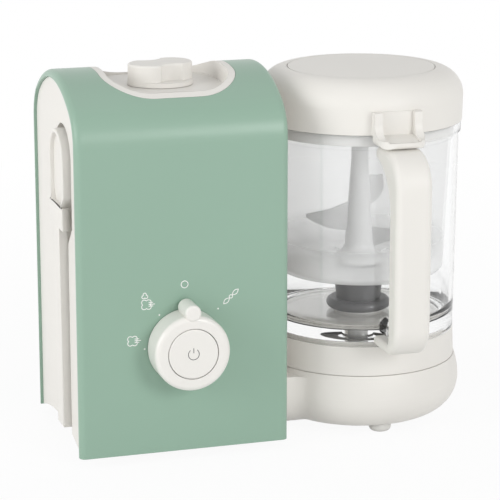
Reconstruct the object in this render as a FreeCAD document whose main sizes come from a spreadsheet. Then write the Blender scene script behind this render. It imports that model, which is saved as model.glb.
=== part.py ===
import FreeCAD, Part
import math
import os
from types import SimpleNamespace

import Sketcher

# A countertop baby food maker: a tower with boiler, motor and controls, and a blender bowl beside it.
# Millimetres, +Z up, front towards -Y, origin at the middle of the footprint on the table.

sizes = {
    # Tower: one band makes front, arched top and back
    "tower_width": 141,
    "tower_depth": 128,
    "tower_height": 250,
    "arch_rise": 40.5,
    "shoulder_radius": 30,
    "shell_lift": 6,
    "wrap_wall": 3,
    "wrap_lip": 4.8,
    "lip_depth": 9,
    "end_rounding": 4,
    "cover_wall": 3,
    "cover_setback": 2,
    "cover_sag": 9,
    # Clearances
    "fit_gap": 0.2,
    "part_gap": 0.3,
    "bore_gap": 0.05,
    "press_gap": 0.02,
    # Spatula and its recess in the left cover
    "spatula_offset": 20,
    "spatula_drop": 34,
    "spatula_foot": 17,
    "paddle_width": 40,
    "paddle_length": 62,
    "paddle_rim": 3,
    "scoop_depth": 3,
    "stem_width": 16,
    "spatula_proud": 1.4,
    "band_width": 37,
    "band_height": 15,
    "band_drop": 2,
    "band_proud": 2,
    "recess_depth": 7,
    "recess_room": 3,
    "recess_wall": 2,
    # Filler dish and tank cap
    "filler_offset": 2,
    "dish_width": 90,
    "dish_depth": 94,
    "dish_corner": 30,
    "dish_rim": 4.5,
    "dish_sink": 12,
    "dish_base": 2.5,
    "dish_cove": 4,
    "cap_length": 45,
    "cap_width": 28,
    "cap_waist": 20,
    "cap_proud": 2.5,
    "cap_disc_radius": 21.5,
    "cap_disc_height": 3,
    "cap_plug_radius": 14,
    "cap_shoulder_radius": 15.5,
    "cap_plug_depth": 12,
    "cap_seal_height": 4,
    "neck_radius": 18,
    "neck_bore": 16,
    # Base: pedestal, bridge and tower floor
    "bowl_gap": 2.5,
    "pedestal_radius": 69.5,
    "pedestal_foot_radius": 50.5,
    "pedestal_top_radius": 66.5,
    "belly_height": 28,
    "pedestal_height": 44.4,
    "base_bottom": 5,
    "base_wall": 3,
    "plate_thickness": 3,
    "bridge_foot": 24,
    "bridge_belly": 42,
    "bridge_top": 40,
    "bridge_height": 41,
    "neck_rounding": 14,
    "tub_height": 30,
    "foot_radius": 7.5,
    "foot_height": 9,
    "foot_rounding": 3,
    "foot_inset": 24,
    "pedestal_foot_y": 46,
    "screw_radius": 1.6,
    "screw_head_radius": 3,
    "screw_head_height": 1.6,
    "screw_length": 12,
    "screw_boss_radius": 4.2,
    "screw_inset": 9.3,
    "tower_screw_y": 28,
    "pedestal_screw_x": 24,
    "pedestal_screw_y": 36,
    # Drive
    "motor_margin": 2.3,
    "motor_radius": 29,
    "motor_length": 58,
    "motor_shaft_radius": 3,
    "motor_shaft_top": 108,
    "bracket_thickness": 4,
    "bracket_size": 62,
    "motor_screw_spread": 21,
    "fan_radius": 25,
    "fan_height": 7,
    "fan_vane": 1.6,
    "fan_vanes": 8,
    "small_pulley_radius": 8,
    "large_pulley_radius": 24,
    "pulley_flange": 3,
    "pulley_level": 14,
    "pulley_rim": 2,
    "belt_width": 8,
    "belt_thickness": 2,
    "spindle_radius": 4,
    "bearing_radius": 9,
    "bearing_length": 9,
    "bearing_boss_radius": 13,
    "coupling_radius": 16,
    "coupling_disc": 4,
    "dog_height": 6,
    "dog_inner_radius": 8,
    "dog_angle": 34,
    "dog_count": 4,
    # Bowl
    "jug_rim_radius": 66.5,
    "jug_foot_radius": 65.2,
    "jug_wall": 2.6,
    "jug_floor_radius": 10,
    "jug_foot_level": 64.5,
    "jug_floor_level": 74,
    "flange_radius": 68,
    "flange_drop": 48.8,
    "flange_height": 6.8,
    "skirt_radius": 61.8,
    "skirt_wall": 3,
    "skirt_depth": 1.7,
    "collar_top_radius": 65.2,
    "collar_foot_radius": 66,
    "collar_floor": 2.6,
    "collar_step": 6,
    "jug_hollow": 2.5,
    "handle_reach": 105,
    "handle_width": 25,
    "handle_thickness": 14.5,
    "handle_arm": 7.6,
    "handle_rise": 0.3,
    "handle_bottom": 65.6,
    "handle_lower_arm": 7.4,
    "handle_upper_bend": 24,
    "handle_lower_bend": 20,
    "handle_inner_bend": 34,
    "handle_rounding": 4.4,
    "handle_inner_rounding": 2.6,
    "handle_crook": 4,
    "lug_width": 17,
    "lug_height": 12,
    "lug_rounding": 4,
    "bush_radius": 22,
    "bush_neck_radius": 15.2,
    "bush_top_radius": 16.2,
    "bush_flange": 7,
    "bush_top_height": 12,
    "bush_stem_radius": 7,
    "hub_seal_inner": 9,
    "hub_seal_outer": 17,
    "hub_seal_height": 1.5,
    "basket_floor": 104,
    "basket_wall": 1.8,
    "basket_foot_radius": 57.5,
    "basket_rim_radius": 61.6,
    "basket_lip_radius": 63.2,
    "basket_drop": 1.2,
    "basket_lip": 2.5,
    "basket_hole_radius": 14,
    "basket_slot_width": 2.6,
    "basket_slot_length": 22,
    "basket_slot_start": 27,
    "basket_slot_count": 16,
    # Blades
    "hub_foot_level": 107,
    "hub_radius": 16.5,
    "hub_skirt": 6,
    "hub_waist_radius": 9.5,
    "hub_waist_level": 122,
    "hub_shoulder_radius": 8.2,
    "hub_shoulder_level": 142,
    "column_radius": 5.8,
    "column_drop": 5.2,
    "shaft_radius": 4,
    "shaft_drop": 16,
    "blade_thickness": 1.6,
    "middle_blade_reach": 38,
    "middle_blade_level": 142,
    "middle_blade_rise": 9,
    "middle_blade_drop": 12,
    "upper_blade_reach": 16.5,
    "upper_blade_level": 166,
    "upper_blade_rise": 1,
    "upper_blade_drop": 19,
    "lower_blade_reach": 40,
    "lower_blade_level": 124,
    "lower_blade_rise": 8,
    "lower_blade_drop": 8,
    "blade_tip": 1.2,
    # Lid
    "lid_radius": 69,
    "lid_foot_radius": 68.6,
    "lid_wall": 2.5,
    "lid_side": 16.7,
    "lid_corner": 18,
    "lid_disc_radius": 49.6,
    "lid_disc_gap": 0.5,
    "lid_disc_thickness": 2.2,
    "lid_disc_crown": 1.1,
    "lid_ring_radius": 56,
    "lid_ring_wall": 2,
    "lid_ring_depth": 34,
    "lid_seal_radius": 63.2,
    "lid_seal_height": 7.4,
    "tab_width": 33,
    "tab_reach": 87,
    "tab_rise": 1,
    "tab_lip": 5,
    "tab_height": 21.8,
    "tab_sweep": 9,
    "prong_width": 5.5,
    "prong_depth": 4,
    "tab_corner": 12,
    "tab_keel": 4,
    "port_radius": 6,
    "steam_rise": 17.7,
    # Boiler and steam way
    "boiler_radius": 42,
    "boiler_rise": 14,
    "boiler_drop": 38,
    "boiler_wall": 2,
    "element_radius": 28,
    "element_tube": 4,
    "element_sweep": 310,
    "thermostat_radius": 9,
    "thermostat_height": 7,
    "outlet_offset": 29,
    "outlet_radius": 5,
    "outlet_drop": 25,
    "pipe_radius": 4,
    "pipe_bend": 9,
    "nozzle_radius": 8,
    "nozzle_flange_radius": 12,
    "nozzle_bore": 4.1,
    "nozzle_seal_radius": 11.5,
    "nozzle_proud": 1.6,
    "nozzle_spigot": 4,
    # Controls on the front
    "knob_level": 77,
    "knob_radius": 25,
    "knob_height": 20.5,
    "knob_lift": 0.6,
    "knob_rounding": 3.5,
    "knob_web_top": 13.5,
    "pointer_radius": 5.3,
    "pointer_offset": 27,
    "pointer_base": 3,
    "pointer_rounding": 1.5,
    "button_radius": 16.4,
    "button_gap": 0.4,
    "button_height": 20.8,
    "button_cap": 4.3,
    "button_travel": 2.5,
    "button_rounding": 0.8,
    "button_stem_radius": 5,
    "sleeve_radius": 12,
    "sleeve_bore": 9,
    "sleeve_height": 11,
    "sleeve_flange_radius": 17,
    "sleeve_flange": 3,
    "switch_radius": 17,
    "switch_depth": 9,
    "switch_cavity": 7,
    "push_switch_radius": 6.5,
    "push_switch_height": 4,
    "board_width": 84,
    "board_height": 66,
    "board_thickness": 1.6,
    "spring_wire": 0.5,
    "spring_turns": 5,
    "spring_radius": 7,
    # Mains lead entry at the back
    "gland_level": 48,
    "gland_radius": 6.5,
    "gland_flange_radius": 9.5,
    "gland_flange": 2,
    "gland_bore": 3.4,
    "gland_nut": 4,
}


class Size:
    """A number together with the expression that gives it."""

    def __init__(self, number, text):
        self.number = number
        self.text = text

    def __add__(self, other):
        return combine(self, "+", other)

    def __radd__(self, other):
        return combine(other, "+", self)

    def __sub__(self, other):
        return combine(self, "-", other)

    def __rsub__(self, other):
        return combine(other, "-", self)

    def __mul__(self, other):
        return combine(self, "*", other)

    def __rmul__(self, other):
        return combine(other, "*", self)

    def __truediv__(self, other):
        return combine(self, "/", other)

    def __rtruediv__(self, other):
        return combine(other, "/", self)

    def __neg__(self):
        return combine(0, "-", self)


def lift(value):
    return value if isinstance(value, Size) else Size(float(value), f"({value})")


def combine(left, sign, right):
    left = lift(left)
    right = lift(right)
    results = {
        "+": left.number + right.number,
        "-": left.number - right.number,
        "*": left.number * right.number,
    }
    number = left.number / right.number if sign == "/" else results[sign]
    return Size(number, f"({left.text} {sign} {right.text})")


def root(value):
    return Size(math.sqrt(value.number), f"sqrt({value.text})")


def cosine(angle):
    return Size(math.cos(math.radians(angle.number)), f"cos({angle.text} * 1 deg)")


def sine(angle):
    return Size(math.sin(math.radians(angle.number)), f"sin({angle.text} * 1 deg)")


doc = FreeCAD.newDocument("BabyFoodMaker")
sheet = doc.addObject("Spreadsheet::Sheet", "Sizes")
for row, (alias, value) in enumerate(sizes.items(), 1):
    sheet.set(f"A{row}", str(value))
    sheet.setAlias(f"A{row}", alias)
doc.recompute()
dim = SimpleNamespace(**{alias: Size(float(value), f"Sizes.{alias}") for alias, value in sizes.items()})

nodes = []
cuts = []


def bind(thing, path, value):
    thing.setExpression(path, lift(value).text)


def place(thing, at):
    for axis, value in zip("xyz", at):
        bind(thing, f"Placement.Base.{axis}", value)


def piece(label, at, turn=None):
    """An empty named piece whose own origin stands at a point of the machine."""
    body = doc.addObject("PartDesign::Body", label)
    body.Label = label
    if turn:
        body.Placement = FreeCAD.Placement(FreeCAD.Vector(), turn)
    place(body, at)
    nodes.append(body)
    return body


def origin_feature(body, role):
    return next(feature for feature in body.Origin.OriginFeatures if feature.Role == role)


class Disc:
    """A full circle in a sketch."""

    def __init__(self, x, y, radius):
        self.x = lift(x)
        self.y = lift(y)
        self.radius = lift(radius)


def fix(drawing, kind, elements, value):
    number = drawing.addConstraint(Sketcher.Constraint(kind, *elements, value.number))
    bind(drawing, f"Constraints[{number}]", value)


def add_disc(drawing, disc):
    centre = FreeCAD.Vector(disc.x.number, disc.y.number, 0)
    index = drawing.addGeometry(Part.Circle(centre, FreeCAD.Vector(0, 0, 1), disc.radius.number))
    fix(drawing, "DistanceX", (-1, 1, index, 3), disc.x)
    fix(drawing, "DistanceY", (-1, 1, index, 3), disc.y)
    fix(drawing, "Radius", (index,), disc.radius)


def add_segment(drawing, begin, end, radius):
    """A line, or an arc that runs anticlockwise for a positive radius; gives index, start and end points."""
    start = FreeCAD.Vector(begin[0].number, begin[1].number, 0)
    stop = FreeCAD.Vector(end[0].number, end[1].number, 0)
    if radius is None:
        return drawing.addGeometry(Part.LineSegment(start, stop)), 1, 2
    chord = stop - start
    half = chord.Length / 2
    height = math.sqrt(max(radius.number ** 2 - half ** 2, 0))
    side = 1 if radius.number > 0 else -1
    normal = FreeCAD.Vector(-chord.y, chord.x, 0).normalize()
    centre = (start + stop) * 0.5 + normal * height * side
    circle = Part.Circle(centre, FreeCAD.Vector(0, 0, 1), abs(radius.number))
    first, last = (start, stop) if side > 0 else (stop, start)
    index = drawing.addGeometry(Part.ArcOfCircle(circle, circle.parameter(first), circle.parameter(last)))
    return (index, 1, 2) if side > 0 else (index, 2, 1)


def add_outline(drawing, points):
    """A closed outline; a third number in a point is the radius of the arc that ends there."""
    corners = [tuple(lift(value) for value in point[:2]) for point in points]
    bends = [lift(point[2]) if len(point) > 2 else None for point in points]
    segments = [
        add_segment(drawing, corners[number - 1], corners[number], bends[number])
        for number in range(len(corners))
    ]
    for number, (index, first, last) in enumerate(segments):
        before = segments[number - 1]
        drawing.addConstraint(Sketcher.Constraint("Coincident", before[0], before[2], index, first))
        fix(drawing, "DistanceX", (-1, 1, index, last), corners[number][0])
        fix(drawing, "DistanceY", (-1, 1, index, last), corners[number][1])
        if bends[number]:
            size = bends[number]
            fix(drawing, "Radius", (index,), size if size.number > 0 else -size)


def sketch(body, plane, *shapes, offset=None):
    drawing = body.newObject("Sketcher::SketchObject", "Sketch")
    drawing.AttachmentSupport = (origin_feature(body, plane), [""])
    drawing.MapMode = "FlatFace"
    if offset is not None:
        bind(drawing, "AttachmentOffset.Base.z", offset)
    for shape in shapes:
        if isinstance(shape, Disc):
            add_disc(drawing, shape)
        else:
            add_outline(drawing, shape)
    return drawing


def extrude(body, kind, drawing, length, both, flip):
    feature = body.newObject(f"PartDesign::{kind}", kind)
    feature.Profile = drawing
    feature.SideType = "Symmetric" if both else "One side"
    feature.Reversed = flip
    bind(feature, "Length", length)
    body.Tip = feature
    return feature


def pad(body, drawing, length, both=False, flip=False):
    return extrude(body, "Pad", drawing, length, both, flip)


def pocket(body, drawing, length, both=False, flip=False):
    cut = extrude(body, "Pocket", drawing, length, both, flip)
    cuts.append(cut)
    return cut


def turned(body, *profiles):
    """A body of revolution about the piece's own Z axis, from profiles of radius and height."""
    drawing = sketch(body, "XZ_Plane", *profiles)
    feature = body.newObject("PartDesign::Revolution", "Revolution")
    feature.Profile = drawing
    feature.ReferenceAxis = (drawing, ["V_Axis"])
    feature.Angle = 360
    body.Tip = feature
    return feature


def turned_cut(body, profile):
    drawing = sketch(body, "XZ_Plane", profile)
    feature = body.newObject("PartDesign::Groove", "Groove")
    feature.Profile = drawing
    feature.ReferenceAxis = (drawing, ["V_Axis"])
    feature.Angle = 360
    body.Tip = feature
    cuts.append(feature)
    return feature


def round_edges(body, radius, chosen):
    doc.recompute()
    base = body.Tip
    names = [f"Edge{number}" for number, edge in enumerate(base.Shape.Edges, 1) if chosen(edge)]
    feature = body.newObject("PartDesign::Fillet", "Fillet")
    feature.Base = (base, names)
    bind(feature, "Radius", radius)
    body.Tip = feature
    return feature


def around(body, feature, count):
    pattern = body.newObject("PartDesign::PolarPattern", "Pattern")
    pattern.Originals = [feature]
    pattern.Axis = (origin_feature(body, "Z_Axis"), [""])
    pattern.Angle = 360
    bind(pattern, "Occurrences", count)
    body.Tip = pattern
    return pattern


def near(value, target, room=0.01):
    return abs(value - lift(target).number) < room


def flat_at(edge, axis, target):
    box = edge.BoundBox
    low, high = {"x": (box.XMin, box.XMax), "y": (box.YMin, box.YMax), "z": (box.ZMin, box.ZMax)}[axis]
    return near(low, target) and near(high, target)


def rounded(width, depth, corner, x=0, y=0):
    """A rectangle with round corners, anticlockwise."""
    left = x - width / 2
    right = x + width / 2
    front = y - depth / 2
    back = y + depth / 2
    return [
        (left + corner, front, corner),
        (right - corner, front),
        (right, front + corner, corner),
        (right, back - corner),
        (right - corner, back, corner),
        (left + corner, back),
        (left, back - corner, corner),
        (left, front + corner),
    ]


def corner_off(x, y, x_side, y_side, radius):
    """What rounding takes off the corner of an outline that ends at x and y on the given sides."""
    beyond_x = x + x_side * radius
    beyond_y = y + y_side * radius
    return [
        (beyond_x, beyond_y),
        (beyond_x, y - y_side * radius),
        (x, y - y_side * radius),
        (x - x_side * radius, y, x_side * y_side * radius),
        (x - x_side * radius, beyond_y),
    ]


def ring(inner, outer, low, high):
    """The section of a plain ring or, from radius zero, of a plain disc."""
    return [(inner, low), (outer, low), (outer, high), (inner, high)]


# The tower and the bowl stand on one line; the origin is the middle of the whole footprint.
half_width = dim.tower_width / 2
half_depth = dim.tower_depth / 2
overall_length = dim.tower_width + dim.bowl_gap + dim.lid_radius + dim.pedestal_radius
tower_x = half_width - overall_length / 2
bowl_x = tower_x + half_width + dim.bowl_gap + dim.lid_radius
axis_y = (dim.handle_reach - dim.pedestal_radius) / 2
tower = (tower_x, axis_y, 0)
bowl = (bowl_x, axis_y, 0)
filler = (tower_x + dim.filler_offset, axis_y, 0)
front_panel = (tower_x, axis_y - half_depth, dim.knob_level)
forwards = FreeCAD.Rotation(FreeCAD.Vector(1, 0, 0), 90)
backwards = FreeCAD.Rotation(FreeCAD.Vector(1, 0, 0), -90)
sideways = FreeCAD.Rotation(FreeCAD.Vector(0, 1, 0), 90)
cap_heading = FreeCAD.Rotation(FreeCAD.Vector(0, 0, 1), 18)

# Three-centred arch: a crown arc between two shoulder arcs
spring_level = dim.tower_height - dim.arch_rise
crown_reach = half_depth - dim.shoulder_radius
crown_radius = (
    crown_reach * crown_reach + dim.arch_rise * dim.arch_rise - dim.shoulder_radius * dim.shoulder_radius
) / (2 * (dim.arch_rise - dim.shoulder_radius))
crown_level = dim.tower_height - crown_radius


def arch_top(inset):
    """The arch from its front spring point to its back one, drawn in by an inset."""
    side = half_depth - inset
    shoulder = dim.shoulder_radius - inset
    crown = crown_radius - inset
    share = crown / (crown_radius - dim.shoulder_radius)
    join_y = crown_reach * share
    join_z = crown_level + (spring_level - crown_level) * share
    return [
        (-side, spring_level),
        (-join_y, join_z, -shoulder),
        (join_y, join_z, -crown),
        (side, spring_level, -shoulder),
    ]


def arch(inset, bottom):
    side = half_depth - inset
    return [(-side, bottom)] + arch_top(inset) + [(side, bottom)]


# Levels shared by the tower, the bowl, the lid and the drive
spatula_top = dim.tower_height - dim.spatula_drop
dish_floor = dim.tower_height - dim.dish_sink
cap_top = dim.tower_height + dim.cap_proud
flange_level = dim.tower_height - dim.flange_drop
basket_top = flange_level - dim.basket_drop
column_top = flange_level - dim.column_drop
shaft_top = column_top - dim.shaft_drop
collar_floor_top = dim.jug_foot_level + dim.jug_hollow - dim.fit_gap
boiler_bottom = dim.motor_shaft_top + dim.boiler_rise
boiler_shoulder = dish_floor - dim.boiler_drop
outlet_top = dish_floor - dim.outlet_drop
lid_level = flange_level + dim.flange_height + dim.part_gap
lid_shoulder = lid_level + dim.lid_side
tab_bottom = flange_level + dim.tab_rise
tab_top = tab_bottom + dim.tab_height
steam_level = lid_level + dim.steam_rise
collar_level = dim.pedestal_height + dim.part_gap
pulley_top = dim.pulley_level + 2 * dim.pulley_rim + dim.belt_width + 2 * dim.part_gap
coupling_level = dim.pedestal_height + dim.part_gap
dog_level = coupling_level + dim.coupling_disc
upper_dog_level = dog_level + dim.dog_height + 2 * dim.part_gap
plate_top = dim.base_bottom + dim.plate_thickness
tower_step = tower_x - bowl_x
recess_back = dim.cover_setback + dim.recess_depth + dim.recess_wall
tub_half_x = half_width - recess_back - dim.fit_gap
tub_half_y = half_depth - dim.wrap_lip - dim.fit_gap
cover_inset = dim.wrap_lip + dim.fit_gap
motor_offset = tub_half_x - dim.bracket_size / 2 - dim.motor_margin
motor = (tower_x + motor_offset, axis_y, 0)
motor_step = tower_step + motor_offset
belt_span = -motor_step


def make_wrap_shell():
    wrap = piece("wrap_shell", tower)
    pad(wrap, sketch(wrap, "YZ_Plane", arch(0, dim.shell_lift)), dim.tower_width, both=True)
    half = half_width.number
    lift_z = dim.shell_lift.number

    def end_edge(edge):
        on_end = near(edge.BoundBox.XLength, 0) and near(abs(edge.CenterOfMass.x), half)
        return on_end and not flat_at(edge, "z", lift_z)

    round_edges(wrap, dim.end_rounding, end_edge)
    pocket(wrap, sketch(wrap, "YZ_Plane", arch(dim.wrap_lip, 0)), dim.tower_width, both=True)
    middle_length = dim.tower_width - 2 * dim.lip_depth
    pocket(wrap, sketch(wrap, "YZ_Plane", arch(dim.wrap_wall, 0)), middle_length, both=True)
    gap = dim.fit_gap
    opening = rounded(
        dim.dish_width + 2 * gap,
        dim.dish_depth + 2 * gap,
        dim.dish_corner + gap,
        x=dim.filler_offset,
    )
    pocket(wrap, sketch(wrap, "XY_Plane", opening, offset=dim.tower_height), dim.arch_rise)
    knob_hole = Disc(0, dim.knob_level, dim.sleeve_radius + dim.fit_gap)
    pocket(wrap, sketch(wrap, "XZ_Plane", knob_hole), dim.tower_depth, flip=True)
    gland_hole = Disc(0, dim.gland_level, dim.gland_radius + dim.fit_gap)
    pocket(wrap, sketch(wrap, "XZ_Plane", gland_hole), dim.tower_depth)


def recess_outline(grow):
    """The spatula recess seen from the side: a round-topped chamber over a narrow channel."""
    centre = -dim.spatula_offset
    wide = dim.paddle_width / 2 + dim.recess_room + grow
    narrow = dim.stem_width / 2 + dim.recess_room + grow
    top = spatula_top + dim.recess_room + grow
    shoulder = spatula_top - dim.paddle_length
    slope = wide - narrow
    return [
        (centre - narrow, 0),
        (centre + narrow, 0),
        (centre + narrow, shoulder - slope),
        (centre + wide, shoulder),
        (centre + wide, top - wide),
        (centre, top, wide),
        (centre - wide, top - wide, wide),
        (centre - wide, shoulder),
        (centre - narrow, shoulder - slope),
    ]


def cover_foot():
    """Half width, level and radius of the low arch that ends a side cover at the bottom."""
    side = half_depth - cover_inset
    bottom = dim.shell_lift + dim.part_gap
    sag_radius = (side * side + dim.cover_sag * dim.cover_sag) / (2 * dim.cover_sag)
    return side, bottom, sag_radius


def cover_outline():
    side, bottom, sag_radius = cover_foot()
    return [(-side, bottom, sag_radius)] + arch_top(cover_inset) + [(side, bottom)]


def make_left_side_cover():
    cover = piece("left_side_cover", tower)
    face = dim.cover_setback - half_width
    pad(cover, sketch(cover, "YZ_Plane", cover_outline(), offset=face), dim.cover_wall)
    tray = recess_outline(dim.recess_wall)
    pad(cover, sketch(cover, "YZ_Plane", tray, offset=face), dim.recess_depth + dim.recess_wall)
    pocket(cover, sketch(cover, "YZ_Plane", recess_outline(0), offset=face), dim.recess_depth, flip=True)
    side, bottom, sag_radius = cover_foot()
    below = [
        (-side, 0),
        (side, 0),
        (side, bottom),
        (-side, bottom, sag_radius),
    ]
    pocket(cover, sketch(cover, "YZ_Plane", below, offset=face), dim.tower_width, flip=True)


def make_right_side_cover():
    cover = piece("right_side_cover", tower)
    face = half_width - dim.cover_setback
    pad(cover, sketch(cover, "YZ_Plane", cover_outline(), offset=face), dim.cover_wall, flip=True)
    notch = bridge_section(dim.part_gap)
    pocket(cover, sketch(cover, "YZ_Plane", notch, offset=face), dim.cover_wall)
    port = Disc(0, steam_level, dim.nozzle_radius + dim.fit_gap)
    pocket(cover, sketch(cover, "YZ_Plane", port, offset=face), dim.cover_wall)


def make_spatula():
    spatula = piece("spatula", tower)
    centre = -dim.spatula_offset
    face = dim.cover_setback - half_width - dim.spatula_proud
    thickness = dim.recess_depth + dim.spatula_proud - dim.part_gap
    half = dim.paddle_width / 2
    stem = dim.stem_width / 2
    top = spatula_top
    shoulder = top - dim.paddle_length
    blade = [
        (centre - stem, dim.spatula_foot),
        (centre + stem, dim.spatula_foot),
        (centre + stem, shoulder),
        (centre + half, shoulder + half),
        (centre + half, top - half),
        (centre, top, half),
        (centre - half, top - half, half),
        (centre - half, shoulder + half),
        (centre - stem, shoulder),
    ]
    pad(spatula, sketch(spatula, "YZ_Plane", blade, offset=face), thickness)
    rim = half - dim.paddle_rim
    scoop = [
        (centre - stem + dim.paddle_rim, shoulder + dim.paddle_rim),
        (centre + stem - dim.paddle_rim, shoulder + dim.paddle_rim),
        (centre + rim, shoulder + half),
        (centre + rim, top - half),
        (centre, top - dim.paddle_rim, rim),
        (centre - rim, top - half, rim),
        (centre - rim, shoulder + half),
    ]
    pocket(spatula, sketch(spatula, "YZ_Plane", scoop, offset=face), dim.scoop_depth, flip=True)
    band_level = shoulder - dim.band_drop
    band = [
        (centre - dim.band_width / 2, band_level),
        (centre + dim.band_width / 2, band_level),
        (centre + dim.band_width / 2, band_level + dim.band_height),
        (centre - dim.band_width / 2, band_level + dim.band_height),
    ]
    band_face = dim.cover_setback - half_width - dim.band_proud
    pad(spatula, sketch(spatula, "YZ_Plane", band, offset=band_face), dim.band_proud - dim.part_gap)


def make_filler_dish():
    dish = piece("filler_dish", filler)
    outer = rounded(dim.dish_width, dim.dish_depth, dim.dish_corner)
    bottom = dish_floor - dim.dish_base - dim.dish_cove
    pad(dish, sketch(dish, "XY_Plane", outer, offset=bottom), dim.tower_height - bottom)
    above = arch_top(0)
    clear_level = dim.tower_height + dim.arch_rise
    above = above + [(half_depth, clear_level), (-half_depth, clear_level)]
    pocket(dish, sketch(dish, "YZ_Plane", above), dim.tower_width, both=True)
    inner = rounded(
        dim.dish_width - 2 * dim.dish_rim,
        dim.dish_depth - 2 * dim.dish_rim,
        dim.dish_corner - dim.dish_rim,
    )
    pocket(dish, sketch(dish, "XY_Plane", inner, offset=dim.tower_height), dim.tower_height - dish_floor)
    neck = Disc(0, 0, dim.neck_radius + dim.fit_gap)
    pocket(dish, sketch(dish, "XY_Plane", neck, offset=dim.tower_height), dim.tower_height - bottom)
    under = rounded(
        dim.dish_width - 2 * dim.dish_rim,
        dim.dish_depth - 2 * dim.dish_rim,
        dim.dish_corner - dim.dish_rim,
    )
    pocket(dish, sketch(dish, "XY_Plane", under, offset=bottom), dim.dish_cove, flip=True)


def make_tank_cap():
    cap = piece("tank_cap", filler, cap_heading)
    disc_low = dish_floor + dim.part_gap
    disc_high = disc_low + dim.cap_disc_height
    seal_top = dish_floor - dim.part_gap
    seal_low = seal_top - dim.cap_seal_height - 2 * dim.part_gap
    plug_low = dish_floor - dim.cap_plug_depth
    turned(cap, [
        (0, plug_low),
        (dim.cap_shoulder_radius, plug_low),
        (dim.cap_shoulder_radius, seal_low),
        (dim.cap_plug_radius, seal_low),
        (dim.cap_plug_radius, seal_top),
        (dim.cap_shoulder_radius, seal_top),
        (dim.cap_shoulder_radius, disc_low),
        (dim.cap_disc_radius, disc_low),
        (dim.cap_disc_radius, disc_high),
        (0, disc_high),
    ])
    end = dim.cap_length / 2
    wide = dim.cap_width / 2
    slim = dim.cap_waist / 2
    lobe = wide
    dip = wide - slim
    span = end - lobe
    hollow = (span * span + dip * dip) / (2 * dip)
    grip = [
        (0, -slim, -hollow),
        (span, -wide, -hollow),
        (end, 0, lobe),
        (span, wide, lobe),
        (0, slim, -hollow),
        (-span, wide, -hollow),
        (-end, 0, lobe),
        (-span, -wide, lobe),
    ]
    pad(cap, sketch(cap, "XY_Plane", grip, offset=disc_low), cap_top - disc_low)
    round_edges(cap, dim.button_rounding * 2, lambda edge: flat_at(edge, "z", cap_top))
    seal = piece("cap_seal", filler)
    turned(seal, ring(
        dim.cap_plug_radius + dim.part_gap,
        dim.neck_bore - dim.part_gap,
        seal_low + dim.part_gap,
        seal_top - dim.part_gap,
    ))


def bridge_section(grow):
    """Section of the bridge: the pedestal's belly curve on both sides of a flat top."""
    foot = dim.bridge_foot + grow
    belly = dim.bridge_belly + grow
    top = dim.bridge_top + grow
    low = dim.base_bottom - grow
    high = dim.bridge_height + grow
    lower = belly_radius(belly - foot, dim.belly_height - low)
    upper = belly_radius(belly - top, high - dim.belly_height)
    return [
        (-foot, low, lower),
        (foot, low),
        (belly, dim.belly_height, lower),
        (top, high, upper),
        (-top, high),
        (-belly, dim.belly_height, upper),
    ]


def belly_radius(drop, rise):
    """Radius of an arc that leaves the belly upright and draws in by a drop over a rise."""
    return (drop * drop + rise * rise) / (2 * drop)


def pedestal_section(wall):
    foot = dim.pedestal_foot_radius - wall
    belly = dim.pedestal_radius - wall
    top = dim.pedestal_top_radius - wall
    high = dim.pedestal_height - wall
    lower = belly_radius(belly - foot, dim.belly_height - dim.base_bottom)
    upper = belly_radius(belly - top, high - dim.belly_height)
    return [
        (0, dim.base_bottom),
        (foot, dim.base_bottom),
        (belly, dim.belly_height, lower),
        (top, high, upper),
        (0, high),
    ]


def foot_places():
    places = [
        (tower_step + side * (tub_half_x - dim.foot_inset), end * (tub_half_y - dim.foot_inset))
        for side in (-1, 1)
        for end in (-1, 1)
    ]
    return places + [(0, end * dim.pedestal_foot_y) for end in (-1, 1)]


def screw_places():
    places = [
        (tower_step + side * (tub_half_x - dim.screw_inset), end * dim.tower_screw_y)
        for side in (-1, 1)
        for end in (-1, 1)
    ]
    return places + [(dim.pedestal_screw_x, end * dim.pedestal_screw_y) for end in (-1, 1)]


def discs(places, radius):
    return [Disc(x, y, radius) for x, y in places]


def block(half_x, half_y, x=0):
    return [(x - half_x, -half_y), (x + half_x, -half_y), (x + half_x, half_y), (x - half_x, half_y)]


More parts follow.
